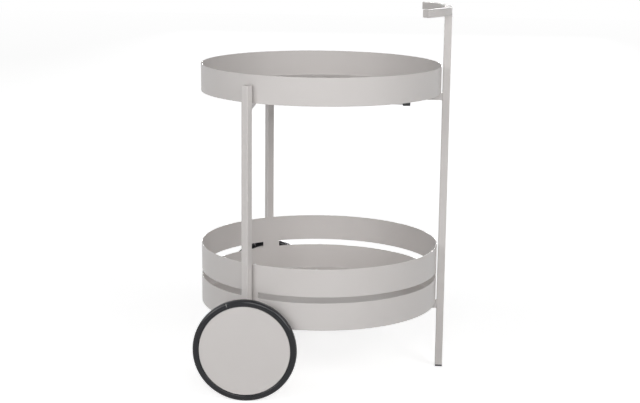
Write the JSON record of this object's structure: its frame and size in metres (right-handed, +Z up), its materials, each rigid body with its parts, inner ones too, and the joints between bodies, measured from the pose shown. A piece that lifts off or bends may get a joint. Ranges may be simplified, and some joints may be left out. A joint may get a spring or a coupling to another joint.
{
  "type": "serving cart",
  "caption": "Round serving cart: stacked round trays in a three-legged square-tube frame, plain disc wheels with rubber tyres, a pull handle on the tall leg and a lift-out upper tray.",
  "frame": {"origin": "on the floor, under the middle of the cart", "axes": "+Z up; +X from the wheel side to the handle side; +Y along the axles, to the rear wheel"},
  "size_m": [0.4976, 0.513, 0.741],
  "materials": {
    "frame_coat": "fine satin powder coat, warm light grey",
    "tray_coat": "fine satin powder coat, warm light grey",
    "wheel_coat": "fine satin powder coat, warm light grey",
    "tyre_rubber": "smooth black rubber with a dull sheen",
    "plug_plastic": "moulded black plastic",
    "foot_plastic": "moulded dark grey plastic",
    "core_plastic": "moulded grey plastic",
    "bush_plastic": "natural bearing plastic",
    "axle_steel": "turned bright steel",
    "screw_steel": "zinc plated"
  },
  "bodies": {
    "frame": {"front_axle_retaining_ring": "axle_steel", "front_axle_stub": "axle_steel", "front_axle_washers": "axle_steel", "front_wheel_leg": "frame_coat", "handle_bow": "frame_coat", "handle_bow_end_plates": "frame_coat", "handle_leg": "frame_coat", "handle_leg_foot": "foot_plastic", "lower_arm": "frame_coat", "lower_bearer": "frame_coat", "lower_bearer_plugs": "plug_plastic", "lower_cross_tube": "frame_coat", "lower_front_rail": "frame_coat", "lower_gallery_band": "tray_coat", "lower_gallery_bridges": "tray_coat", "lower_rear_rail": "frame_coat", "lower_tray_floor": "tray_coat", "lower_tray_screws": "screw_steel", "lower_tray_wall": "tray_coat", "rear_axle_retaining_ring": "axle_steel", "rear_axle_stub": "axle_steel", "rear_axle_washers": "axle_steel", "rear_wheel_leg": "frame_coat", "upper_arm": "frame_coat", "upper_bearer": "frame_coat", "upper_bearer_plugs": "plug_plastic", "upper_cross_tube": "frame_coat", "upper_front_rail": "frame_coat", "upper_rear_rail": "frame_coat", "wheel_leg_plugs": "plug_plastic", "wheel_leg_top_plates": "frame_coat"},
    "upper_tray": {"upper_tray_floor": "tray_coat", "upper_tray_wall": "tray_coat"},
    "front_wheel": {"front_wheel_core": "core_plastic", "front_wheel_outer_face": "wheel_coat", "front_wheel_inner_face": "wheel_coat", "front_wheel_tyre": "tyre_rubber", "front_wheel_bushes": "bush_plastic"},
    "rear_wheel": {"rear_wheel_core": "core_plastic", "rear_wheel_outer_face": "wheel_coat", "rear_wheel_inner_face": "wheel_coat", "rear_wheel_tyre": "tyre_rubber", "rear_wheel_bushes": "bush_plastic"}
  },
  "joints": [
    {"name": "front_wheel_spin", "type": "hinge", "parent": "frame", "child": "front_wheel", "pos_m": [-0.13375, -0.2485, 0.1], "axis": [0, 1, 0], "continuous": true},
    {"name": "rear_wheel_spin", "type": "hinge", "parent": "frame", "child": "rear_wheel", "pos_m": [-0.13375, 0.2485, 0.1], "axis": [0, 1, 0], "continuous": true},
    {"name": "upper_tray_lift", "type": "slide", "parent": "frame", "child": "upper_tray", "axis": [0, 0, 1], "range_m": [0, 0.1]}
  ]
}
